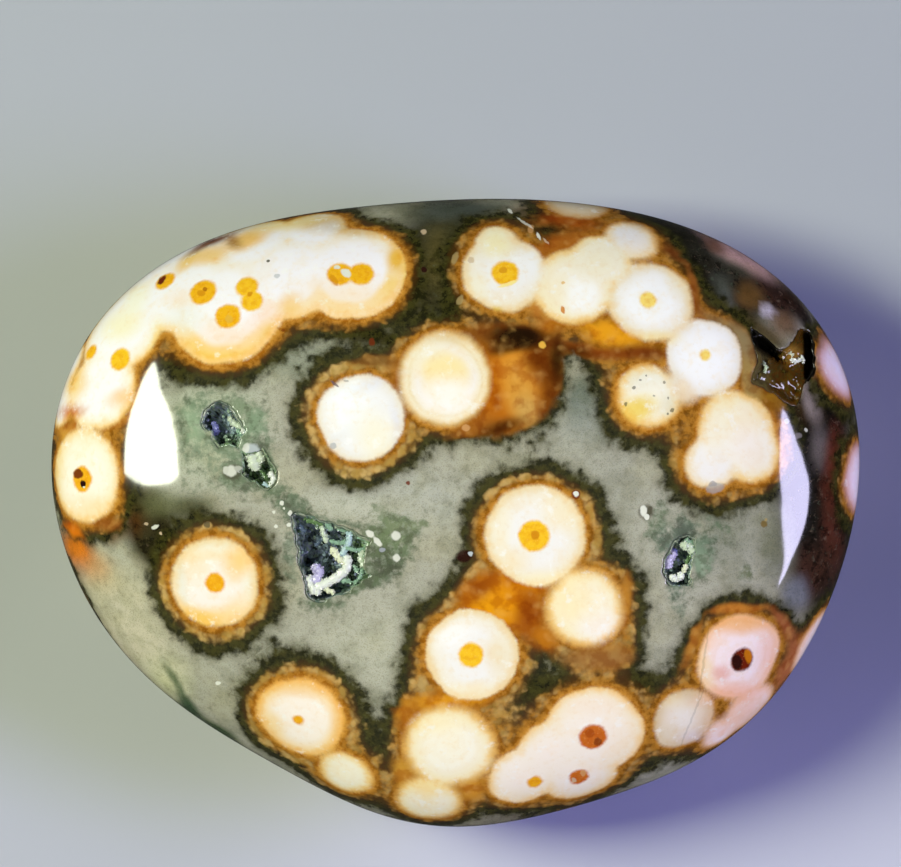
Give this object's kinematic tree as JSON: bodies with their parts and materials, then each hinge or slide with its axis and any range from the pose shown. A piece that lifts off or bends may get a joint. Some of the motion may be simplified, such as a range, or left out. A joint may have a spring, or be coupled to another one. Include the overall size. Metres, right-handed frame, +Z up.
{
  "type": "palm stone",
  "caption": "Polished free-form ocean jasper palm stone, a rounded flattened pebble with orb markings and small open pits lined with quartz crystals, for holding in the hand",
  "frame": {"origin": "middle of the footprint, on the surface that the stone rests on", "axes": "+X runs along the stone's length, +Y across its width, +Z up, through its thickness, out of the polished face"},
  "size_m": [0.0659, 0.0512, 0.0215],
  "materials": {
    "jasper": "polished",
    "quartz": "gloss",
    "amber_quartz": "gloss"
  },
  "bodies": {
    "root": {"palm_stone": "jasper", "druse_upper_left": "quartz", "druse_center": "quartz", "druse_right": "quartz", "druse_corner": "amber_quartz"}
  },
  "joints": []
}
